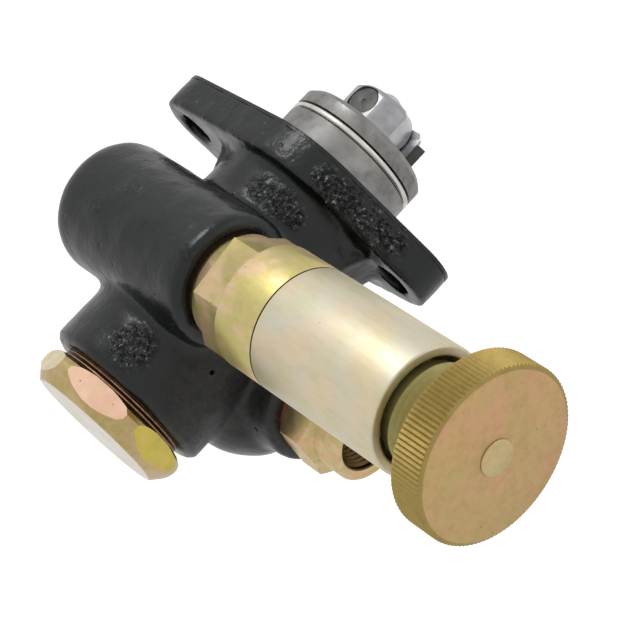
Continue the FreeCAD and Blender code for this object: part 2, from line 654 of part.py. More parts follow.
def build_outlet():
    x, y = "outlet_place_x", OUTLET_Y
    seat = "outlet_mouth + gasket_thick"
    build_valve("pressure", x, y, "outlet_floor", "outlet_mouth + gasket_thick - outlet_shank")
    keep("outlet_gasket", turned([
        ("outlet_thread + gasket_play", "0"), ("outlet_hex*0.5 - gasket_play", "0"),
        ("outlet_hex*0.5 - gasket_play", "gasket_thick"), ("outlet_thread + gasket_play", "gasket_thick"),
    ], "+Z", (x, y, "outlet_mouth")))
    top = "outlet_hex_high + outlet_tube_long"
    body = turned([
        ("outlet_way", "-1*outlet_shank"), ("outlet_thread - thread_edge", "-1*outlet_shank"),
        ("outlet_thread", "-1*outlet_shank + thread_edge"), ("outlet_thread", "0"),
        ("outlet_hex*0.5 - 0.4", "0"), ("outlet_hex*0.577", "thread_edge"),
        ("outlet_hex*0.577", "outlet_hex_high - 2"), ("outlet_tube", "outlet_hex_high"),
        ("outlet_tube", top + " - small_edge"), ("outlet_tube - small_edge", top),
        ("outlet_port + small_edge", top), ("outlet_port", top + " - small_edge"),
        ("outlet_port", "outlet_port_floor"), ("outlet_way", "outlet_port_floor"),
    ], "+Z", (x, y, seat))
    prism = hexagon("outlet_hex", "outlet_shank + outlet_hex_high + outlet_tube_long", "+Z",
                    (x, y, seat + " - outlet_shank"), size("outlet_turn"))
    keep("outlet_connector", common(body, prism))


def build_primer_base():
    x, y = "suction_place_x", SUCTION_Y
    build_valve("suction", x, y, "valve_floor", "suction_mouth + gasket_thick - primer_shank")
    keep("primer_gasket", turned([
        ("primer_shank_round + gasket_play", "0"), ("primer_neck - thread_edge", "0"),
        ("primer_neck - thread_edge", "gasket_thick"), ("primer_shank_round + gasket_play", "gasket_thick"),
    ], "+Z", (x, y, "suction_mouth")))
    seat = "suction_mouth + gasket_thick"
    joint = "primer_joint"
    body = turned([
        ("primer_way", seat + " - primer_shank"),
        ("primer_shank_round - thread_edge", seat + " - primer_shank"),
        ("primer_shank_round", seat + " - primer_shank + thread_edge"), ("primer_shank_round", seat),
        ("primer_neck", seat), ("primer_neck", seat + " + primer_collar"),
        ("primer_body", seat + " + primer_collar"), ("primer_body", joint),
        ("primer_spigot", joint), ("primer_spigot", joint + " + primer_spigot_high"),
        ("primer_bore", joint + " + primer_spigot_high"), ("primer_bore", "primer_floor"),
        ("primer_way", "primer_floor"),
    ], "+Z", (x, y, "0"))
    flats = []
    for turn in (60, 120, 180, 240, 300, 0):
        spin = Rotation(Vector(0, 0, 1), turn + size("primer_turn"))
        flat = block("4", "primer_body*2", "primer_flat_top - suction_mouth - gasket_thick - primer_collar",
                     ("0", "0", seat + " + primer_collar"), spin)
        corner = spin.multVec(Vector(size("primer_flat"), -size("primer_body"), 0))
        flat.setExpression("Placement.Base.x", "Sizes.suction_place_x + %.4f" % corner.x)
        flat.setExpression("Placement.Base.y", "%s + %.4f" % (linked(SUCTION_Y), corner.y))
        flats.append(flat)
    keep("primer_base", cut(body, flats))
    keep("primer_barrel", turned([
        ("primer_spigot + joint_gap", joint), ("primer_body", joint), ("primer_body", "primer_mouth - fine_edge"),
        ("primer_body - fine_edge", "primer_mouth"), ("primer_thread + fine_edge", "primer_mouth"),
        ("primer_thread", "primer_mouth - fine_edge"), ("primer_thread", "primer_mouth - primer_thread_deep"),
        ("primer_bore", "primer_mouth - primer_thread_deep"), ("primer_bore", joint + " + primer_spigot_high"),
        ("primer_spigot + joint_gap", joint + " + primer_spigot_high"),
    ], "+Z", (x, y, "0")))


def build_primer_plunger():
    x, y = "suction_place_x", SUCTION_Y
    foot, top = "plunger_foot", "plunger_foot + plunger_high"
    outside = "primer_bore - plunger_gap"
    seal_place = "plunger_foot + plunger_high*0.5"
    groove = "primer_bore - seal_wire*2"
    shelf = foot + " + rod_floor + rod_foot_high + rod_play*4"
    keep("primer_plunger", turned([
        ("0", foot), (outside, foot), (outside, seal_place + " - seal_wire - 0.1"),
        (groove, seal_place + " - seal_wire - 0.1"), (groove, seal_place + " + seal_wire + 0.1"),
        (outside, seal_place + " + seal_wire + 0.1"), (outside, top), ("primer_rod_round + rod_play", top),
        ("primer_rod_round + rod_play", shelf), ("rod_foot_round + rod_play", shelf),
        ("rod_foot_round + rod_play", foot + " + rod_floor"), ("0", foot + " + rod_floor"),
    ], "+Z", (x, y, "0")))
    keep("primer_plunger_seal", ring("primer_bore - seal_wire - joint_gap", "seal_wire - 0.02", "+Z",
                                     (x, y, seal_place)))
    rod_foot = foot + " + rod_floor + rod_play"
    keep("primer_rod", turned([
        ("0", rod_foot), ("rod_foot_round", rod_foot), ("rod_foot_round", rod_foot + " + rod_foot_high"),
        ("primer_rod_round", rod_foot + " + rod_foot_high"), ("primer_rod_round", KNOB_FACE),
        ("rivet_round", KNOB_FACE), ("rivet_round", KNOB_FACE + " + rivet_high - 0.2"),
        ("rivet_round - 0.3", KNOB_FACE + " + rivet_high"), ("0", KNOB_FACE + " + rivet_high"),
    ], "+Z", (x, y, "0")))


def knurled_prism(x, y):
    """A straight-knurled cylinder: one point out and one point in for each knurl."""
    count = int(size("knurl_count"))
    low, high = size("knob_round") - size("knurl_deep"), size("knob_round")
    points = []
    for number in range(2 * count):
        angle = math.pi * number / count
        reach = high if number % 2 else low
        points.append(Vector(reach * math.cos(angle), reach * math.sin(angle), 0))
    outline = doc.addObject("Part::Polygon", "knurl_outline")
    outline.Nodes = points
    outline.Close = True
    prism = doc.addObject("Part::Extrusion", "knurls")
    prism.Base = outline
    prism.DirMode = "Custom"
    prism.Dir = Vector(0, 0, 1)
    prism.Solid = True
    bind(prism, LengthFwd="knob_thick")
    settle(prism, "+Z", (x, y, KNOB_FOOT))
    return prism


def build_knob():
    x, y = "suction_place_x", SUCTION_Y
    thread_low = "knob_boss_round - knob_thread_deep"
    outline = [("primer_rod_round", KNOB_BOSS_FOOT), ("primer_rod_round", KNOB_FACE),
               ("knob_round - knob_bevel", KNOB_FACE), ("knob_round", KNOB_FACE + " - knob_bevel*0.6"),
               ("knob_round", KNOB_FOOT + " + knob_edge"), ("knob_round - knob_edge", KNOB_FOOT),
               (thread_low, KNOB_FOOT)]
    ridges = int(value("knob_gap + knob_boss_sunk") / size("knob_thread_pitch")) - 1
    for number in range(ridges):
        outline.append(("knob_boss_round", KNOB_FOOT + " - knob_thread_pitch*%.1f" % (number + 0.5)))
        outline.append((thread_low, KNOB_FOOT + " - knob_thread_pitch*%d" % (number + 1)))
    outline.append((thread_low, KNOB_BOSS_FOOT))
    body = turned(outline, "+Z", (x, y, "0"))
    skirt = cylinder("knob_boss_round + 1", "knob_thick + knob_gap + knob_boss_sunk", "+Z",
                     (x, y, KNOB_BOSS_FOOT))
    keep("primer_knob", common(body, joined([knurled_prism(x, y), skirt])))


def check_all():
    for item in doc.Objects:
        if "Invalid" in item.State or "Error" in item.State:
            raise RuntimeError("%s (%s) failed: %s" % (item.Name, item.Label, item.State))
    for name, item in parts.items():
        shape = item.Shape
        if shape.isNull() or not shape.isValid() or len(shape.Solids) != 1:
            raise RuntimeError("%s is not one valid solid: %d" % (name, len(shape.Solids)))


def write_all():
    os.makedirs("parts", exist_ok=True)
    for name, item in parts.items():
        item.Shape.exportStep(os.path.join("parts", name + ".step"))
        box = item.Shape.BoundBox
        print("%-22s %8.0f mm3  x %.1f..%.1f  y %.1f..%.1f  z %.1f..%.1f" % (
            name, item.Shape.Volume, box.XMin, box.XMax, box.YMin, box.YMax, box.ZMin, box.ZMax))


fill_sheet()
build_housing()
build_tappet()
build_drive()
build_outlet()
build_primer_base()
build_primer_plunger()
build_knob()
doc.recompute()
check_all()
write_all()
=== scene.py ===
import math

import bmesh
import bpy
import numpy as np
from mathutils import Matrix, Vector, noise


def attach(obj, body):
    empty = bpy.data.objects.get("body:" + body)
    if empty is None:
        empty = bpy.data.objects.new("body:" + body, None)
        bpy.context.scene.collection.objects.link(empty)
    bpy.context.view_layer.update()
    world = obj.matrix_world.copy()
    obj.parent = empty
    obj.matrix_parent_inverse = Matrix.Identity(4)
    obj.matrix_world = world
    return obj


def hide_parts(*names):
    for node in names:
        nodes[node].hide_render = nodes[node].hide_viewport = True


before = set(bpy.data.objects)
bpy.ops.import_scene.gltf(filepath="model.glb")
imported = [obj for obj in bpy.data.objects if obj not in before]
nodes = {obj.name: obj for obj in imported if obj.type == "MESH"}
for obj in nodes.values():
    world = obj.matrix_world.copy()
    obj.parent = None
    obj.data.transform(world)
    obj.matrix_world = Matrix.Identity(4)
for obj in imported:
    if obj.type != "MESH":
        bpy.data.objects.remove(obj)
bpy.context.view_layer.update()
mm = 0.001
primerAxis = (-19.0, -36.7)
outletAxis = (18.2, -40.6)
boltPlaces = [(10.12, 26.64), (-12.07, -31.78)]
print("frame loaded")


# the camera of the photograph: its right, down and forward directions, and its place
lens = {
    "right": Vector((0.4168, 0.6666, 0.6180)),
    "down": Vector((0.5612, -0.7235, 0.4020)),
    "ahead": Vector((0.7151, 0.1792, -0.6757)),
    "place": Vector((-361.2, -118.7, 369.4)) * mm,
    "focal": 129.4,
    "sensor": 36.0,
}

cameraData = bpy.data.cameras.new("camera")
cameraData.lens = lens["focal"]
cameraData.sensor_width = lens["sensor"]
cameraData.clip_start = 0.01
cameraData.clip_end = 20.0
camera = bpy.data.objects.new("camera", cameraData)
bpy.context.scene.collection.objects.link(camera)
axes = Matrix((lens["right"], -lens["down"], -lens["ahead"])).transposed()
camera.matrix_world = Matrix.Translation(lens["place"]) @ axes.to_4x4()
bpy.context.scene.camera = camera
print("camera made")


# shader maths: a Wire is an output of a node, and its sums make nodes
class Wire:
    def __init__(self, paint, socket):
        self.paint = paint
        self.socket = socket

    def __add__(self, other):
        return self.paint.maths("ADD", self, other)

    __radd__ = __add__

    def __sub__(self, other):
        return self.paint.maths("SUBTRACT", self, other)

    def __rsub__(self, other):
        return self.paint.maths("SUBTRACT", other, self)

    def __mul__(self, other):
        return self.paint.maths("MULTIPLY", self, other)

    __rmul__ = __mul__

    def ease(self, low, high):
        feeds = {"Value": self, "From Min": low, "From Max": high}
        return self.paint.node("ShaderNodeMapRange", {"interpolation_type": "SMOOTHSTEP"}, feeds)


class Paint:
    def __init__(self, name, constants):
        self.material = bpy.data.materials.new(name)
        self.material.use_nodes = True
        self.tree = self.material.node_tree
        self.shader = self.tree.nodes["Principled BSDF"]
        for label, level in constants.items():
            self.shader.inputs[label].default_value = level
        place = self.node("ShaderNodeTexCoord", output="Object")
        self.place = self.node(
            "ShaderNodeVectorMath", {"operation": "SCALE"}, {"Vector": place, "Scale": 1.0 / mm}
        )
        apart = self.tree.nodes.new("ShaderNodeSeparateXYZ")
        self.feed(apart.inputs[0], self.place)
        self.along = Wire(self, apart.outputs["Y"])
        self.height = Wire(self, apart.outputs["Z"])

    def feed(self, socket, source):
        if isinstance(source, Wire):
            self.tree.links.new(source.socket, socket)
        else:
            socket.default_value = source

    def node(self, kind, settings=None, feeds=None, output=0):
        made = self.tree.nodes.new(kind)
        for label, setting in (settings or {}).items():
            setattr(made, label, setting)
        for label, source in (feeds or {}).items():
            self.feed(made.inputs[label], source)
        return Wire(self, made.outputs[output])

    def maths(self, operation, first, second=0.0):
        return self.node("ShaderNodeMath", {"operation": operation}, {0: first, 1: second})

    def stretched(self, factors):
        return self.node(
            "ShaderNodeVectorMath", {"operation": "MULTIPLY"}, {0: self.place, 1: factors}
        )

    # noise between 0 and 1 whose lumps are about `size` mm across
    def cloud(self, size, detail=3.0, roughness=0.5, shift=0.0, place=None):
        moved = self.node(
            "ShaderNodeVectorMath",
            {"operation": "ADD"},
            {0: place or self.place, 1: (shift, shift * 1.7, shift * 0.6)},
        )
        feeds = {"Vector": moved, "Scale": 1.0 / size, "Detail": detail, "Roughness": roughness}
        return self.node("ShaderNodeTexNoise", None, feeds)

    def cells(self, size, shift=0.0):
        moved = self.node(
            "ShaderNodeVectorMath", {"operation": "ADD"}, {0: self.place, 1: (shift, shift, shift)}
        )
        feeds = {"Vector": moved, "Scale": 1.0 / size}
        return self.node("ShaderNodeTexVoronoi", None, feeds)

    # 1 out to the share `firm` of `reach` mm from a point, falling to 0 at `reach`
    def near(self, point, reach, firm):
        span = self.node(
            "ShaderNodeVectorMath", {"operation": "DISTANCE"}, {0: self.place, 1: point}, "Value"
        )
        return 1.0 - span.ease(reach * firm, reach)

    def blend(self, factor, first, second, kind="MIX"):
        settings = {"data_type": "RGBA", "blend_type": kind, "clamp_factor": True}
        return self.node("ShaderNodeMix", settings, {0: factor, 6: rgba(first), 7: rgba(second)}, 2)

    def bump(self, height, depth):
        feeds = {"Height": height, "Distance": depth * mm, "Strength": 1.0}
        return self.node("ShaderNodeBump", None, feeds)

    def finish(self, **outputs):
        for label, source in outputs.items():
            self.feed(self.shader.inputs[label.replace("_", " ")], source)
        return self.material


def rgba(colour):
    return colour if isinstance(colour, Wire) else (*colour, 1.0)


# black paint on a sand casting
ironLook = {
    "paint": (0.0030, 0.0042, 0.0044),
    "dusty": (0.020, 0.018, 0.015),
    # the colour of the painted glints on sand grains
    "paintedGlint": (0.30, 0.30, 0.32),
    "rough": [
        ((-17.0, -4.9, 16.2), 4.0),
        ((-14.5, -5.3, 18.5), 5.0),
        ((-11.4, -4.5, 21.0), 5.0),
        ((-7.7, -4.6, 23.9), 5.0),
        ((-3.8, -4.9, 27.0), 5.0),
        ((-0.4, -4.7, 29.8), 4.0),
        ((-19.7, -15.1, 6.6), 4.5),
        ((-17.3, -15.2, 11.5), 5.0),
        ((-14.3, -15.5, 15.1), 3.5),
        ((-18.5, -60.4, 9.4), 7.0),
    ],
    "dull": [((4.0, -55.0, 20.0), 20.0)],
    "pits": [((-5.4, -52.7, 20.1), 0.62), ((13.8, -53.8, 23.4), 0.70)],
    # the colour of painted shade in the pits and sand hollows
    "hollow": (0.001, 0.001, 0.001),
    "rust": (0.014, 0.013, 0.012),
    "lumpSize": 6.0,
    "grainSize": 1.1,
    "sandSize": 0.95,
    "gloss": 0.20,
    "depth": 0.42,
}


def anyOf(paint, spots, firm):
    total = None
    for point, reach in spots:
        spot = paint.near(point, reach, firm)
        total = spot if total is None else paint.maths("MAXIMUM", total, spot)
    return total


def castingPaint():
    paint = Paint("castingPaint", {"Specular IOR Level": 0.42})
    rough = anyOf(paint, ironLook["rough"], 0.45)
    stray = paint.cloud(11.0, 2.0, shift=31.0).ease(0.62, 0.72)
    rough = paint.maths("MAXIMUM", rough, stray * 0.25)
    rough = rough * paint.cloud(3.4, 3.0, 0.6, shift=17.0).ease(0.36, 0.50)
    dull = anyOf(paint, ironLook["dull"], 0.5)
    pits = anyOf(paint, ironLook["pits"], 0.80)
    grain = paint.cloud(ironLook["grainSize"], 4.0, 0.6)
    lumps = paint.cloud(ironLook["lumpSize"], 3.0, 0.5, shift=12.0)
    # coarse sand under the paint: its bright grains are painted glints, and the hollows between
    # them are painted shade
    sand = paint.cloud(ironLook["sandSize"], 3.0, 0.7, shift=51.0)
    paintedGlint = sand.ease(0.61, 0.66) * rough
    hollow = (1.0 - sand.ease(0.42, 0.56)) * rough
    blow = 1.0 - paint.cells(3.7, 5.0).ease(0.05, 0.16)
    blow = blow * paint.cloud(9.0, 1.0, shift=7.0).ease(0.52, 0.60)
    height = lumps * 0.9 + grain * (0.14 + dull * 0.12)
    height = height + sand * (rough * 1.3) - pits * 1.2 - blow * 0.5
    tone = paint.cloud(2.2, 4.0, 0.65, shift=3.0)
    colour = paint.blend(dull * tone.ease(0.3, 0.75), ironLook["paint"], ironLook["dusty"])
    colour = paint.blend(paintedGlint * 0.8, colour, ironLook["paintedGlint"])
    # painted shade: pits and sand hollows turn black and metallic, so they reflect nothing
    paintedShade = paint.maths("MAXIMUM", pits, hollow * 0.75)
    colour = paint.blend(paintedShade, colour, ironLook["hollow"])
    rust = paint.cloud(5.0, 3.0, shift=44.0).ease(0.62, 0.74)
    colour = paint.blend(rust * 0.4 * (1.0 - paintedShade), colour, ironLook["rust"])
    gloss = ironLook["gloss"] + lumps * 0.16 + dull * 0.22 - rough * 0.06
    normal = paint.bump(height, ironLook["depth"])
    return paint.finish(Base_Color=colour, Roughness=gloss, Metallic=paintedShade, Normal=normal)


# bare steel, with fine lines round the Y axis
def turnedSteel(name, tint, stain, rough, marks):
    paint = Paint(name, {"Metallic": 1.0})
    mottle = paint.cloud(3.2, 4.0, 0.6)
    large = paint.cloud(13.0, 2.0, shift=9.0)
    lines = paint.cloud(1.0, 2.0, 0.7, place=paint.stretched((0.02, 2.6, 0.02)))
    colour = paint.blend(mottle.ease(0.35, 0.75), tint, stain)
    colour = paint.blend(large.ease(0.4, 0.7) * 0.35, colour, tuple(c * 1.25 for c in tint))
    gloss = rough + mottle * 0.16 + lines * 0.05
    return paint.finish(
        Base_Color=colour, Roughness=gloss, Normal=paint.bump(lines + mottle * 0.3, marks)
    )


# yellow zinc whose four tints flow into each other; a look may add bands at some
# heights, a tint outside a rim and painted shade inside a bore, both measured from an axis along Z
def zincPaint(name, look):
    paint = Paint(name, {"Metallic": 1.0})
    size = look["patch"]
    shift = look["shift"]
    soft = look.get("soft", 0.0)
    first = paint.cloud(size, 2.0, shift=shift).ease(0.40 - soft, 0.60 + soft)
    second = paint.cloud(size * 0.8, 2.0, shift=shift + 17.0).ease(0.46 - soft, 0.62 + soft)
    third = paint.cloud(size * 0.45, 3.0, shift=shift + 31.0).ease(0.52 - soft, 0.68 + soft)
    colour = paint.blend(first, look["tints"][0], look["tints"][1])
    colour = paint.blend(second * look["weights"][0], colour, look["tints"][2])
    colour = paint.blend(third * look["weights"][1], colour, look["tints"][3])
    for low, high, tint in look.get("bands", []):
        band = paint.height.ease(low - 0.06, low) * (1.0 - paint.height.ease(high, high + 0.06))
        colour = paint.blend(band, colour, tint)
    if "centre" in look:
        away = paint.node(
            "ShaderNodeVectorMath",
            {"operation": "DISTANCE"},
            {0: paint.stretched((1.0, 1.0, 0.0)), 1: (*look["centre"], 0.0)},
            "Value",
        )
        if "rim" in look:
            reach, tint = look["rim"]
            colour = paint.blend(away.ease(reach, reach + 0.3), colour, tint)
        # painted shade: inside the bore's reach the colour turns dark
        if "bore" in look:
            reach, tint = look["bore"]
            colour = paint.blend(away.ease(reach, reach + 0.2), tint, colour)
    speck = 1.0 - paint.cells(4.5, shift).ease(0.02, 0.06)
    speck = speck * paint.cloud(12.0, 1.0, shift=4.0).ease(0.46, 0.54)
    colour = paint.blend(speck * 0.75, colour, (0.10, 0.07, 0.03))
    fine = paint.cloud(0.55, 3.0, 0.6, shift=2.0)
    scuff = paint.cloud(1.6, 4.0, 0.7, place=paint.stretched(look["grain"]))
    colour = paint.blend(scuff.ease(0.40, 0.75) * 0.22, colour, look["tints"][2], "MULTIPLY")
    gloss = look["rough"] + first * 0.06 + scuff * 0.10
    height = fine * 0.5 + scuff * 0.6 - speck * 0.8
    return paint.finish(
        Base_Color=colour, Roughness=gloss, Normal=paint.bump(height, look["bump"])
    )


zincLooks = {
    "barrel": {
        "tints": [(0.68, 0.61, 0.47), (0.64, 0.62, 0.50), (0.74, 0.60, 0.41), (0.60, 0.59, 0.34)],
        "soft": 0.08,
        "weights": [0.75, 0.55],
        "patch": 15.0,
        "shift": 5.0,
        "rough": 0.40,
        "bump": 0.010,
        "grain": (1.0, 1.0, 0.25),
        "bands": [(45.30, 45.58, (0.05, 0.035, 0.015))],
    },
    "base": {
        "tints": [(0.58, 0.48, 0.22), (0.74, 0.55, 0.35), (0.60, 0.54, 0.20), (0.52, 0.50, 0.14)],
        "weights": [0.75, 0.6],
        "patch": 11.0,
        "shift": 21.0,
        "rough": 0.38,
        "bump": 0.012,
        "grain": (1.0, 1.0, 0.4),
        "bands": [(45.24, 45.5, (0.05, 0.035, 0.015))],
    },
    "connector": {
        "tints": [(0.60, 0.46, 0.22), (0.66, 0.46, 0.26), (0.52, 0.42, 0.17), (0.68, 0.57, 0.36)],
        "weights": [0.7, 0.6],
        "patch": 7.0,
        "shift": 61.0,
        "rough": 0.32,
        "bump": 0.012,
        "grain": (1.0, 1.0, 0.5),
        "centre": outletAxis,
        # painted shade inside the outlet bore and its thread
        "bore": (7.2, (0.10, 0.065, 0.025)),
    },
    "knob": {
        "tints": [(0.60, 0.40, 0.19), (0.64, 0.40, 0.225), (0.55, 0.41, 0.18), (0.52, 0.41, 0.18)],
        "weights": [0.7, 0.5],
        "patch": 14.0,
        "shift": 81.0,
        "rough": 0.46,
        "bump": 0.012,
        "grain": (0.7, 0.7, 1.0),
        "centre": primerAxis,
        "rim": (18.3, (0.38, 0.285, 0.095)),
        "bands": [(80.0, 95.5, (0.40, 0.36, 0.15))],
    },
    "rod": {
        "tints": [(0.60, 0.48, 0.25), (0.63, 0.47, 0.25), (0.56, 0.47, 0.22), (0.58, 0.49, 0.24)],
        "weights": [0.6, 0.5],
        "patch": 5.0,
        "shift": 97.0,
        "rough": 0.40,
        "bump": 0.02,
        "grain": (1.0, 1.0, 1.0),
    },
    "plugFace": {
        "tints": [(0.76, 0.73, 0.67), (0.74, 0.68, 0.58), (0.78, 0.74, 0.68), (0.66, 0.60, 0.44)],
        "weights": [0.6, 0.3],
        "patch": 12.0,
        "shift": 33.0,
        "rough": 0.30,
        "bump": 0.008,
        "grain": (1.0, 0.5, 1.0),
    },
    "plugTurned": {
        "tints": [(0.50, 0.36, 0.18), (0.56, 0.42, 0.22), (0.44, 0.36, 0.13), (0.60, 0.44, 0.24)],
        "weights": [0.6, 0.5],
        "patch": 8.0,
        "shift": 41.0,
        "rough": 0.28,
        "bump": 0.010,
        "grain": (1.0, 0.5, 1.0),
    },
}

# the plug's flats differ in where their pattern starts, and in tint: each tint is painted light,
# brighter or darker by the way that flat faces
flatLightTints = {
    "plugPeach": (
        47.0,
        [(0.84, 0.54, 0.38), (0.86, 0.58, 0.42), (0.78, 0.54, 0.34), (0.88, 0.66, 0.50)],
    ),
    "plugYellow": (
        53.0,
        [(0.62, 0.50, 0.10), (0.58, 0.48, 0.12), (0.66, 0.50, 0.14), (0.54, 0.46, 0.16)],
    ),
    "plugStraw": (
        59.0,
        [(0.72, 0.60, 0.38), (0.78, 0.66, 0.46), (0.66, 0.54, 0.24), (0.60, 0.52, 0.24)],
    ),
}
for flatName, (flatShift, tints) in flatLightTints.items():
    zincLooks[flatName] = {
        "tints": tints,
        "weights": [0.6, 0.5],
        "patch": 7.0,
        "shift": flatShift,
        "rough": 0.26,
        "bump": 0.008,
        "grain": (0.6, 0.5, 1.0),
    }


def softMetal(name, tint, shade, rough):
    paint = Paint(name, {"Metallic": 1.0})
    tone = paint.cloud(2.5, 4.0, 0.6).ease(0.3, 0.75)
    fine = paint.cloud(0.6, 3.0, 0.6, shift=6.0)
    colour = paint.blend(tone, tint, shade)
    return paint.finish(
        Base_Color=colour, Roughness=rough + tone * 0.12, Normal=paint.bump(fine, 0.02)
    )


# a copper washer painted with shade: dark painted shade for the gaps it sits in, leaving two copper
# lines; its middle lies at a place along Y
def washerPaint(name, middle, tint, shade):
    paint = Paint(name, {"Metallic": 1.0})
    tone = paint.cloud(2.5, 4.0, 0.6).ease(0.3, 0.75)
    colour = paint.blend(tone, tint, shade)
    off = paint.maths("ABSOLUTE", paint.along - middle)
    # painted shade: dark everywhere except two copper lines on either side of the middle
    gapShade = 1.0 - off.ease(0.28, 0.40) * (1.0 - off.ease(0.62, 0.70))
    colour = paint.blend(gapShade, colour, (0.012, 0.008, 0.005))
    return paint.finish(
        Base_Color=colour, Roughness=0.34 + tone * 0.12, Normal=paint.bump(tone, 0.02)
    )


def plainStuff(name, tint, shade, rough):
    paint = Paint(name, {"Metallic": 0.0})
    tone = paint.cloud(3.0, 3.0, 0.6).ease(0.3, 0.7)
    fine = paint.cloud(0.4, 2.0, 0.6, shift=6.0)
    colour = paint.blend(tone, tint, shade)
    return paint.finish(
        Base_Color=colour, Roughness=rough + tone * 0.1, Normal=paint.bump(fine, 0.02)
    )


paints = {
    "casting": castingPaint(),
    "spigot": turnedSteel("spigotSteel", (0.25, 0.245, 0.235), (0.15, 0.147, 0.14), 0.30, 0.010),
    "tappet": turnedSteel("tappetSteel", (0.36, 0.36, 0.375), (0.27, 0.27, 0.28), 0.26, 0.004),
    "ring": turnedSteel("ringSteel", (0.66, 0.64, 0.60), (0.48, 0.46, 0.43), 0.16, 0.002),
    "roller": turnedSteel("rollerSteel", (0.52, 0.52, 0.53), (0.42, 0.42, 0.43), 0.18, 0.002),
    "oxide": turnedSteel("oxideSteel", (0.12, 0.12, 0.11), (0.08, 0.08, 0.075), 0.38, 0.006),
    "key": turnedSteel("keySteel", (0.075, 0.072, 0.068), (0.045, 0.043, 0.04), 0.38, 0.008),
    "spring": turnedSteel("springSteel", (0.42, 0.42, 0.43), (0.30, 0.30, 0.31), 0.30, 0.004),
    "plugWasher": washerPaint("plugWasher", -69.25, (0.50, 0.27, 0.15), (0.30, 0.17, 0.09)),
    "outletWasher": softMetal("outletWasher", (0.62, 0.26, 0.16), (0.42, 0.16, 0.09), 0.32),
    "primerWasher": softMetal("primerWasher", (0.46, 0.30, 0.15), (0.30, 0.19, 0.09), 0.34),
    "brass": softMetal("brassTurned", (0.72, 0.56, 0.26), (0.60, 0.45, 0.20), 0.26),
    "plastic": plainStuff("valvePlastic", (0.016, 0.016, 0.016), (0.03, 0.03, 0.028), 0.42),
    "rubber": plainStuff("sealRubber", (0.010, 0.010, 0.010), (0.018, 0.018, 0.018), 0.55),
}
for zincName, zincLook in zincLooks.items():
    paints[zincName] = zincPaint(zincName + "Zinc", zincLook)
print("paints mixed")


def choose(piece):
    bpy.ops.object.select_all(action="DESELECT")
    piece.select_set(True)
    bpy.context.view_layer.objects.active = piece


def apply(piece, kind, settings):
    modifier = piece.modifiers.new(kind.lower(), kind)
    for label, setting in settings.items():
        setattr(modifier, label, setting)
    choose(piece)
    bpy.ops.object.modifier_apply(modifier=modifier.name)


# a welded copy of a CAD node, to work on
def weldedCopy(nodeName, pieceName):
    piece = bpy.data.objects.new(pieceName, nodes[nodeName].data.copy())
    bpy.context.scene.collection.objects.link(piece)
    piece.data.materials.clear()
    choose(piece)
    bpy.ops.mesh.customdata_custom_splitnormals_clear()
    bpy.ops.object.mode_set(mode="EDIT")
    bpy.ops.mesh.select_all(action="SELECT")
    bpy.ops.mesh.remove_doubles(threshold=0.002 * mm)
    bpy.ops.object.mode_set(mode="OBJECT")
    return piece


# flat faces made whole again, and a fine bevel along the sharp edges
def breakEdges(piece, width, sharpAngle, smoothAngle):
    choose(piece)
    bpy.ops.object.mode_set(mode="EDIT")
    bpy.ops.mesh.select_all(action="SELECT")
    bpy.ops.mesh.dissolve_limited(angle_limit=math.radians(0.4))
    bpy.ops.object.mode_set(mode="OBJECT")
    bevel = {
        "width": width * mm,
        "segments": 2,
        "limit_method": "ANGLE",
        "angle_limit": math.radians(sharpAngle),
        "use_clamp_overlap": True,
    }
    apply(piece, "BEVEL", bevel)
    choose(piece)
    bpy.ops.object.shade_smooth_by_angle(angle=math.radians(smoothAngle))


def wear(piece, body, slotName, *paintNames):
    for paintName in paintNames:
        piece.data.materials.append(paints[paintName])
    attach(piece, body)


dressedEdges = {"sharpAngle": 38.0, "smoothAngle": 40.0}

# the visible turned and hexagonal parts get fine broken edges: each node's new piece,
# body, slot, paint and width of bevel
dressed = {
    "primer_base": ("baseShown", "pump", "primer_zinc", "base", 0.22),
    "primer_barrel": ("barrelShown", "pump", "barrel_zinc", "barrel", 0.25),
    "outlet_connector": ("connectorShown", "pump", "connector_zinc", "connector", 0.20),
    "tappet_body": ("tappetShown", "tappet", "tappet_steel", "tappet", 0.22),
    "tappet_guide_key": ("keyShown", "tappet", "pin_steel", "key", 0.20),
    "roller_pin": ("pinShown", "tappet", "pin_steel", "oxide", 0.15),
    "tappet_roller": ("rollerShown", "roller", "roller_steel", "roller", 0.20),
    "primer_rod": ("rodShown", "primer_handle", "rod_zinc", "rod", 0.15),
}


def dress(nodeName):
    pieceName, body, slotName, paintName, width = dressed[nodeName]
    piece = weldedCopy(nodeName, pieceName)
    breakEdges(piece, width, dressedEdges["sharpAngle"], dressedEdges["smoothAngle"])
    wear(piece, body, slotName, paintName)
    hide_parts(nodeName)


for dressedNode in dressed:
    dress(dressedNode)
print("turned parts dressed")


# the casting: a voxel skin with cast fillets and lumps, crisp again where it is machined
castForm = {
    "voxel": 0.78,
    "relax": 26,
    "edgeShare": 0.34,  # how much an outer edge rounds off, beside 1 for an inner corner
    "lumps": [(11.0, 0.20), (4.0, 0.09)],
    "bores": [
        ("Y", 0.0, 0.0, 11.2, -80.0, 20.0),
        ("Y", 0.0, 0.0, 15.5, -80.0, -66.0),
        ("Z", *primerAxis, 11.0, -3.5, 30.0),
        ("Z", *primerAxis, 8.4, -60.0, -8.0),
        ("Z", *outletAxis, 8.4, 6.0, 40.0),
    ],
    "boltHoles": [("Y", *place, 5.4, -20.0, 5.0) for place in boltPlaces],
    "cut": -0.9,  # the skin ends here behind the flange's face, and the spigot's piece goes on
    "relaxReach": 2.0,  # behind the face, the relaxing comes in over this depth
    "lumpReach": 3.0,  # behind the cut, the lumps come in over this depth
    "smoothAngle": 60.0,
}


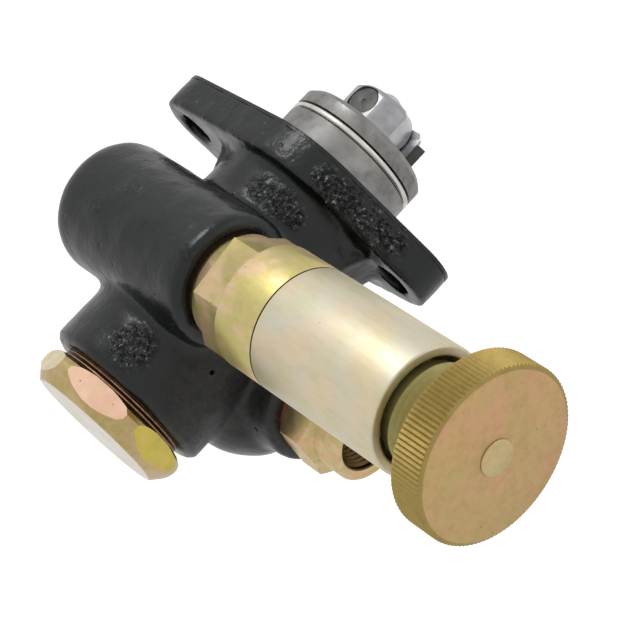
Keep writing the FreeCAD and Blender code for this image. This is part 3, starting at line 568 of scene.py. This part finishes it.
def inBores(points, bores):
    inside = np.zeros(len(points), bool)
    for axis, first, second, reach, low, high in bores:
        line, one, two = (1, 0, 2) if axis == "Y" else (2, 0, 1)
        away = np.hypot(points[:, one] - first, points[:, two] - second)
        inside |= (away < reach) & (points[:, line] > low) & (points[:, line] < high)
    return inside


def readValues(items, label):
    flat = np.empty(len(items) * 3)
    items.foreach_get(label, flat)
    return flat.reshape(-1, 3)


def cutAt(piece, height, keepAbove):
    choose(piece)
    bpy.ops.object.mode_set(mode="EDIT")
    bpy.ops.mesh.select_all(action="SELECT")
    bpy.ops.mesh.bisect(
        plane_co=(0.0, height * mm, 0.0),
        plane_no=(0.0, 1.0, 0.0),
        clear_inner=keepAbove,
        clear_outer=not keepAbove,
        use_fill=False,
    )
    bpy.ops.object.mode_set(mode="OBJECT")


def makeCasting():
    piece = weldedCopy("pump_housing", "castingShown")
    apply(piece, "REMESH", {"mode": "VOXEL", "voxel_size": castForm["voxel"] * mm})
    twin = bpy.data.objects.new("castingTwin", piece.data.copy())
    bpy.context.scene.collection.objects.link(twin)
    apply(twin, "SMOOTH", {"factor": 0.5, "iterations": castForm["relax"]})
    start = readValues(piece.data.vertices, "co")
    moved = readValues(twin.data.vertices, "co") - start
    normals = readValues(piece.data.vertices, "normal")
    bpy.data.objects.remove(twin)
    millimetres = start / mm
    behind = -millimetres[:, 1]
    bored = inBores(millimetres, castForm["bores"] + castForm["boltHoles"])
    # inner corners fill like fillets, outer edges round off less, machined walls stay
    outward = (moved * normals).sum(1)
    share = np.where(outward > 0.0, 1.0, castForm["edgeShare"])
    share[bored] = 0.0
    share *= np.clip(behind / castForm["relaxReach"], 0.0, 1.0)
    points = start + moved * share[:, None]
    lump = np.zeros(len(points))
    for size, depth in castForm["lumps"]:
        lump += depth * mm * np.array(
            [noise.noise(Vector(point / size)) for point in millimetres]
        )
    free = np.clip((behind + castForm["cut"]) / castForm["lumpReach"], 0.0, 1.0) * ~bored
    points += normals * (lump * free)[:, None]
    corners = np.array([corner[:] for corner in nodes["pump_housing"].bound_box])
    points = np.clip(points, corners.min(0), corners.max(0))
    piece.data.vertices.foreach_set("co", points.ravel())
    piece.data.update()
    cutAt(piece, castForm["cut"], False)
    choose(piece)
    bpy.ops.object.shade_smooth_by_angle(angle=math.radians(castForm["smoothAngle"]))
    wear(piece, "pump", "casting", "casting", "spigot")
    centres = readValues(piece.data.polygons, "center") / mm
    machined = inBores(centres, castForm["bores"])
    piece.data.polygons.foreach_set("material_index", machined.astype(int))
    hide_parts("pump_housing")


# the flange's front and the spigot, cut from the same node; the flange's rim is painted
spigotForm = {
    "bevel": 0.25,
    "sharpAngle": 45.0,
    "smoothAngle": 35.0,
    "rimReach": 21.0,
    "rimTop": -0.02,
    "rimSlope": 0.6,
}


def makeSpigot():
    piece = weldedCopy("pump_housing", "spigotShown")
    cutAt(piece, castForm["cut"], True)
    breakEdges(piece, spigotForm["bevel"], spigotForm["sharpAngle"], spigotForm["smoothAngle"])
    wear(piece, "pump", "casting", "spigot", "casting")
    centres = readValues(piece.data.polygons, "center") / mm
    slopes = np.abs(readValues(piece.data.polygons, "normal")[:, 1])
    painted = np.hypot(centres[:, 0], centres[:, 2]) > spigotForm["rimReach"]
    painted &= (centres[:, 1] < spigotForm["rimTop"]) & (slopes < spigotForm["rimSlope"])
    painted &= ~inBores(centres, castForm["boltHoles"])
    piece.data.polygons.foreach_set("material_index", painted.astype(int))
    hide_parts("pump_housing")


makeCasting()
makeSpigot()
print("casting made")


# the plug: a turned head with rounded shoulders, then six flats milled into it
plugForm = {
    "profile": [
        (0.0, -77.8), (16.3, -77.8), (16.8, -77.65), (18.0, -76.2), (19.3, -74.6), (19.9, -73.4),
        (19.9, -72.2), (19.3, -71.1), (18.1, -70.25), (17.4, -70.0), (13.0, -70.0), (13.0, -59.4),
        (12.1, -58.5), (8.4, -58.5), (8.4, -73.8), (0.0, -73.8),
    ],
    "steps": 120,
    "flat": 18.0,
    "turn": 0.6,
    "skins": ["plugTurned", "plugFace", "plugPeach", "plugYellow", "plugStraw"],
    # each flat gets the painted-light tint for the way it faces
    "flatSkins": {
        30: "plugStraw", 90: "plugYellow", 150: "plugPeach",
        210: "plugStraw", 270: "plugYellow", 330: "plugPeach",
    },
}


def makePlug():
    mesh = bpy.data.meshes.new("plugShown")
    points = [(reach * mm, place * mm, 0.0) for reach, place in plugForm["profile"]]
    mesh.from_pydata(points, [(i, i + 1) for i in range(len(points) - 1)], [])
    piece = bpy.data.objects.new("plugShown", mesh)
    bpy.context.scene.collection.objects.link(piece)
    choose(piece)
    bpy.ops.object.mode_set(mode="EDIT")
    bpy.ops.mesh.select_all(action="SELECT")
    bpy.ops.mesh.spin(
        steps=plugForm["steps"], angle=2.0 * math.pi, center=(0.0, 0.0, 0.0), axis=(0.0, 1.0, 0.0)
    )
    bpy.ops.mesh.select_all(action="SELECT")
    bpy.ops.mesh.remove_doubles(threshold=0.002 * mm)
    bpy.ops.mesh.normals_make_consistent(inside=False)
    flats = []
    for angle, skin in plugForm["flatSkins"].items():
        turn = math.radians(angle + plugForm["turn"])
        way = Vector((math.cos(turn), 0.0, math.sin(turn)))
        flats.append((way, plugForm["skins"].index(skin)))
        bpy.ops.mesh.select_all(action="SELECT")
        bpy.ops.mesh.bisect(
            plane_co=way * plugForm["flat"] * mm, plane_no=way, clear_outer=True, use_fill=True
        )
    bpy.ops.object.mode_set(mode="OBJECT")
    bpy.ops.object.shade_smooth_by_angle(angle=math.radians(16.0))
    wear(piece, "pump", "plug_zinc", *plugForm["skins"])
    for face in piece.data.polygons:
        if face.normal.y < -0.999:
            face.material_index = plugForm["skins"].index("plugFace")
        for way, skin in flats:
            depth = plugForm["flat"] * mm - face.center.dot(way)
            if face.normal.dot(way) > 0.9999 and depth < 0.01 * mm:
                face.material_index = skin
    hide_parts("piston_plug")


makePlug()
print("plug made")


# the knob keeps its knurl: its edges are only softened in shading
def makeKnob():
    piece = weldedCopy("primer_knob", "knobShown")
    choose(piece)
    bpy.ops.object.shade_smooth_by_angle(angle=math.radians(32.0))
    wear(piece, "primer_handle", "knob_zinc", "knob")
    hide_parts("primer_knob")


makeKnob()
print("knob made")


# a thread's ridge: where its foot and crown start, as shares of the pitch, its steps in
# a turn, and how fast it rises from its ends, in full heights a turn
ridge = {"foot": 0.06, "crown": 0.44, "steps": 40, "rise": 4.0, "endHeight": 0.02}

# fine internal threads, as helical ridges on the walls of the ports
threads = {
    "outletThread": {
        "centre": outletAxis,
        "wall": 7.02,
        "crest": 6.4,
        "low": 33.2,
        "high": 45.6,
        "pitch": 1.5,
        "slot": "connector_zinc",
        "paint": "connector",
    },
    "inletThread": {
        "centre": primerAxis,
        "wall": 7.02,
        "crest": 6.4,
        "low": -28.6,
        "high": -17.5,
        "pitch": 1.5,
        "slot": "casting",
        "paint": "spigot",
    },
}


def makeThread(pieceName, form):
    skin = bmesh.new()
    turns = (form["high"] - form["low"] - form["pitch"]) / form["pitch"]
    rows = []
    for step in range(int(turns * ridge["steps"]) + 1):
        turn = step / ridge["steps"]
        angle = turn * 2.0 * math.pi
        base = form["low"] + turn * form["pitch"]
        ending = (turns - turn) * ridge["rise"] + ridge["endHeight"]
        fade = min(1.0, turn * ridge["rise"], ending)
        crest = form["wall"] + (form["crest"] - form["wall"]) * fade
        section = [
            (ridge["foot"], form["wall"]),
            (ridge["crown"], crest),
            (1.0 - ridge["crown"], crest),
            (1.0 - ridge["foot"], form["wall"]),
        ]
        row = []
        for share, reach in section:
            x = form["centre"][0] + reach * math.cos(angle)
            y = form["centre"][1] + reach * math.sin(angle)
            row.append(skin.verts.new(Vector((x, y, base + share * form["pitch"])) * mm))
        rows.append(row)
    for below, above in zip(rows, rows[1:]):
        for side in range(4):
            other = (side + 1) % 4
            skin.faces.new((below[side], below[other], above[other], above[side]))
    skin.faces.new(rows[0])
    skin.faces.new(rows[-1])
    bmesh.ops.recalc_face_normals(skin, faces=skin.faces)
    mesh = bpy.data.meshes.new(pieceName)
    skin.to_mesh(mesh)
    skin.free()
    piece = bpy.data.objects.new(pieceName, mesh)
    bpy.context.scene.collection.objects.link(piece)
    choose(piece)
    bpy.ops.object.shade_smooth_by_angle(angle=math.radians(35.0))
    wear(piece, "pump", form["slot"], form["paint"])


for threadName, threadForm in threads.items():
    makeThread(threadName, threadForm)
print("threads cut")


# CAD nodes that are shown as they are
carried = {
    "spigot_ring": "ring",
    "plug_gasket": "plugWasher",
    "outlet_gasket": "outletWasher",
    "primer_gasket": "primerWasher",
    "piston_spring": "spring",
    "suction_valve_spring": "spring",
    "pressure_valve_spring": "spring",
    "push_rod": "tappet",
    "pump_piston": "tappet",
    "suction_valve_plate": "plastic",
    "pressure_valve_plate": "plastic",
    "primer_plunger": "brass",
    "primer_plunger_seal": "rubber",
}
for nodeName, paintName in carried.items():
    nodes[nodeName].data.materials.clear()
    nodes[nodeName].data.materials.append(paints[paintName])
print("carried nodes painted")


# plain studio: a pale floor well below the part and a white surround
studio = {
    "centre": Vector((-1.0, -27.0, 32.0)) * mm,
    "floor": -0.24,
    "floorSize": 8.0,
    "floorTints": [(0.55, 0.55, 0.55), (0.58, 0.58, 0.58)],
    "floorGlow": (0.62, 0.62, 0.62),
    "faintGlow": (0.15, 0.15, 0.15),
    "mirrored": 0.6,
    "surround": 0.86,
    "lights": [
        {"aim": (-0.35, -0.85, -0.40), "far": 0.60, "size": 0.20, "power": 0.9},
        {"aim": (0.75, -0.45, -0.40), "far": 0.60, "size": 0.40, "power": 0.2},
    ],
}


def viewDirection(aim):
    return (lens["right"] * aim[0] + lens["down"] * aim[1] + lens["ahead"] * aim[2]).normalized()


def makeLights():
    for number, light in enumerate(studio["lights"]):
        lamp = bpy.data.lights.new("soft%d" % number, "AREA")
        lamp.shape = "DISK"
        lamp.size = light["size"]
        lamp.energy = light["power"]
        holder = bpy.data.objects.new(lamp.name, lamp)
        bpy.context.scene.collection.objects.link(holder)
        out = viewDirection(light["aim"])
        holder.location = studio["centre"] + out * light["far"]
        holder.rotation_euler = out.to_track_quat("Z", "Y").to_euler()


def makeWorld():
    world = bpy.data.worlds.new("studio")
    bpy.context.scene.world = world
    world.use_nodes = True
    tree = world.node_tree
    tree.nodes.clear()
    path = tree.nodes.new("ShaderNodeLightPath")
    soft = tree.nodes.new("ShaderNodeBackground")
    soft.inputs["Color"].default_value = (1.0, 1.0, 1.0, 1.0)
    soft.inputs["Strength"].default_value = studio["surround"]
    white = tree.nodes.new("ShaderNodeBackground")
    white.inputs["Color"].default_value = (1.0, 1.0, 1.0, 1.0)
    white.inputs["Strength"].default_value = 1.0
    mix = tree.nodes.new("ShaderNodeMixShader")
    output = tree.nodes.new("ShaderNodeOutputWorld")
    tree.links.new(path.outputs["Is Camera Ray"], mix.inputs[0])
    tree.links.new(soft.outputs[0], mix.inputs[1])
    tree.links.new(white.outputs[0], mix.inputs[2])
    tree.links.new(mix.outputs[0], output.inputs[0])


# the floor glows fully for the camera only, so it looks white and hardly lights the part
def makeFloor():
    bpy.ops.mesh.primitive_plane_add(
        size=studio["floorSize"], location=(0.0, 0.0, studio["floor"])
    )
    floor = bpy.context.active_object
    floor.name = "floor"
    paint = Paint("floorPaint", {"Roughness": 1.0, "Specular IOR Level": 0.0})
    grain = paint.cloud(60.0, 2.0)
    paint.shader.inputs["Emission Strength"].default_value = 1.0
    seen = paint.node("ShaderNodeLightPath", output="Is Camera Ray")
    mirrored = paint.node("ShaderNodeLightPath", output="Is Glossy Ray")
    glow = paint.blend(mirrored * studio["mirrored"], studio["faintGlow"], studio["floorGlow"])
    glow = paint.blend(seen, glow, studio["floorGlow"])
    paint.finish(Base_Color=paint.blend(grain, *studio["floorTints"]), Emission_Color=glow)
    floor.data.materials.append(paint.material)


makeLights()
makeWorld()
makeFloor()
bpy.context.scene.view_settings.view_transform = "Standard"
print("studio lit")
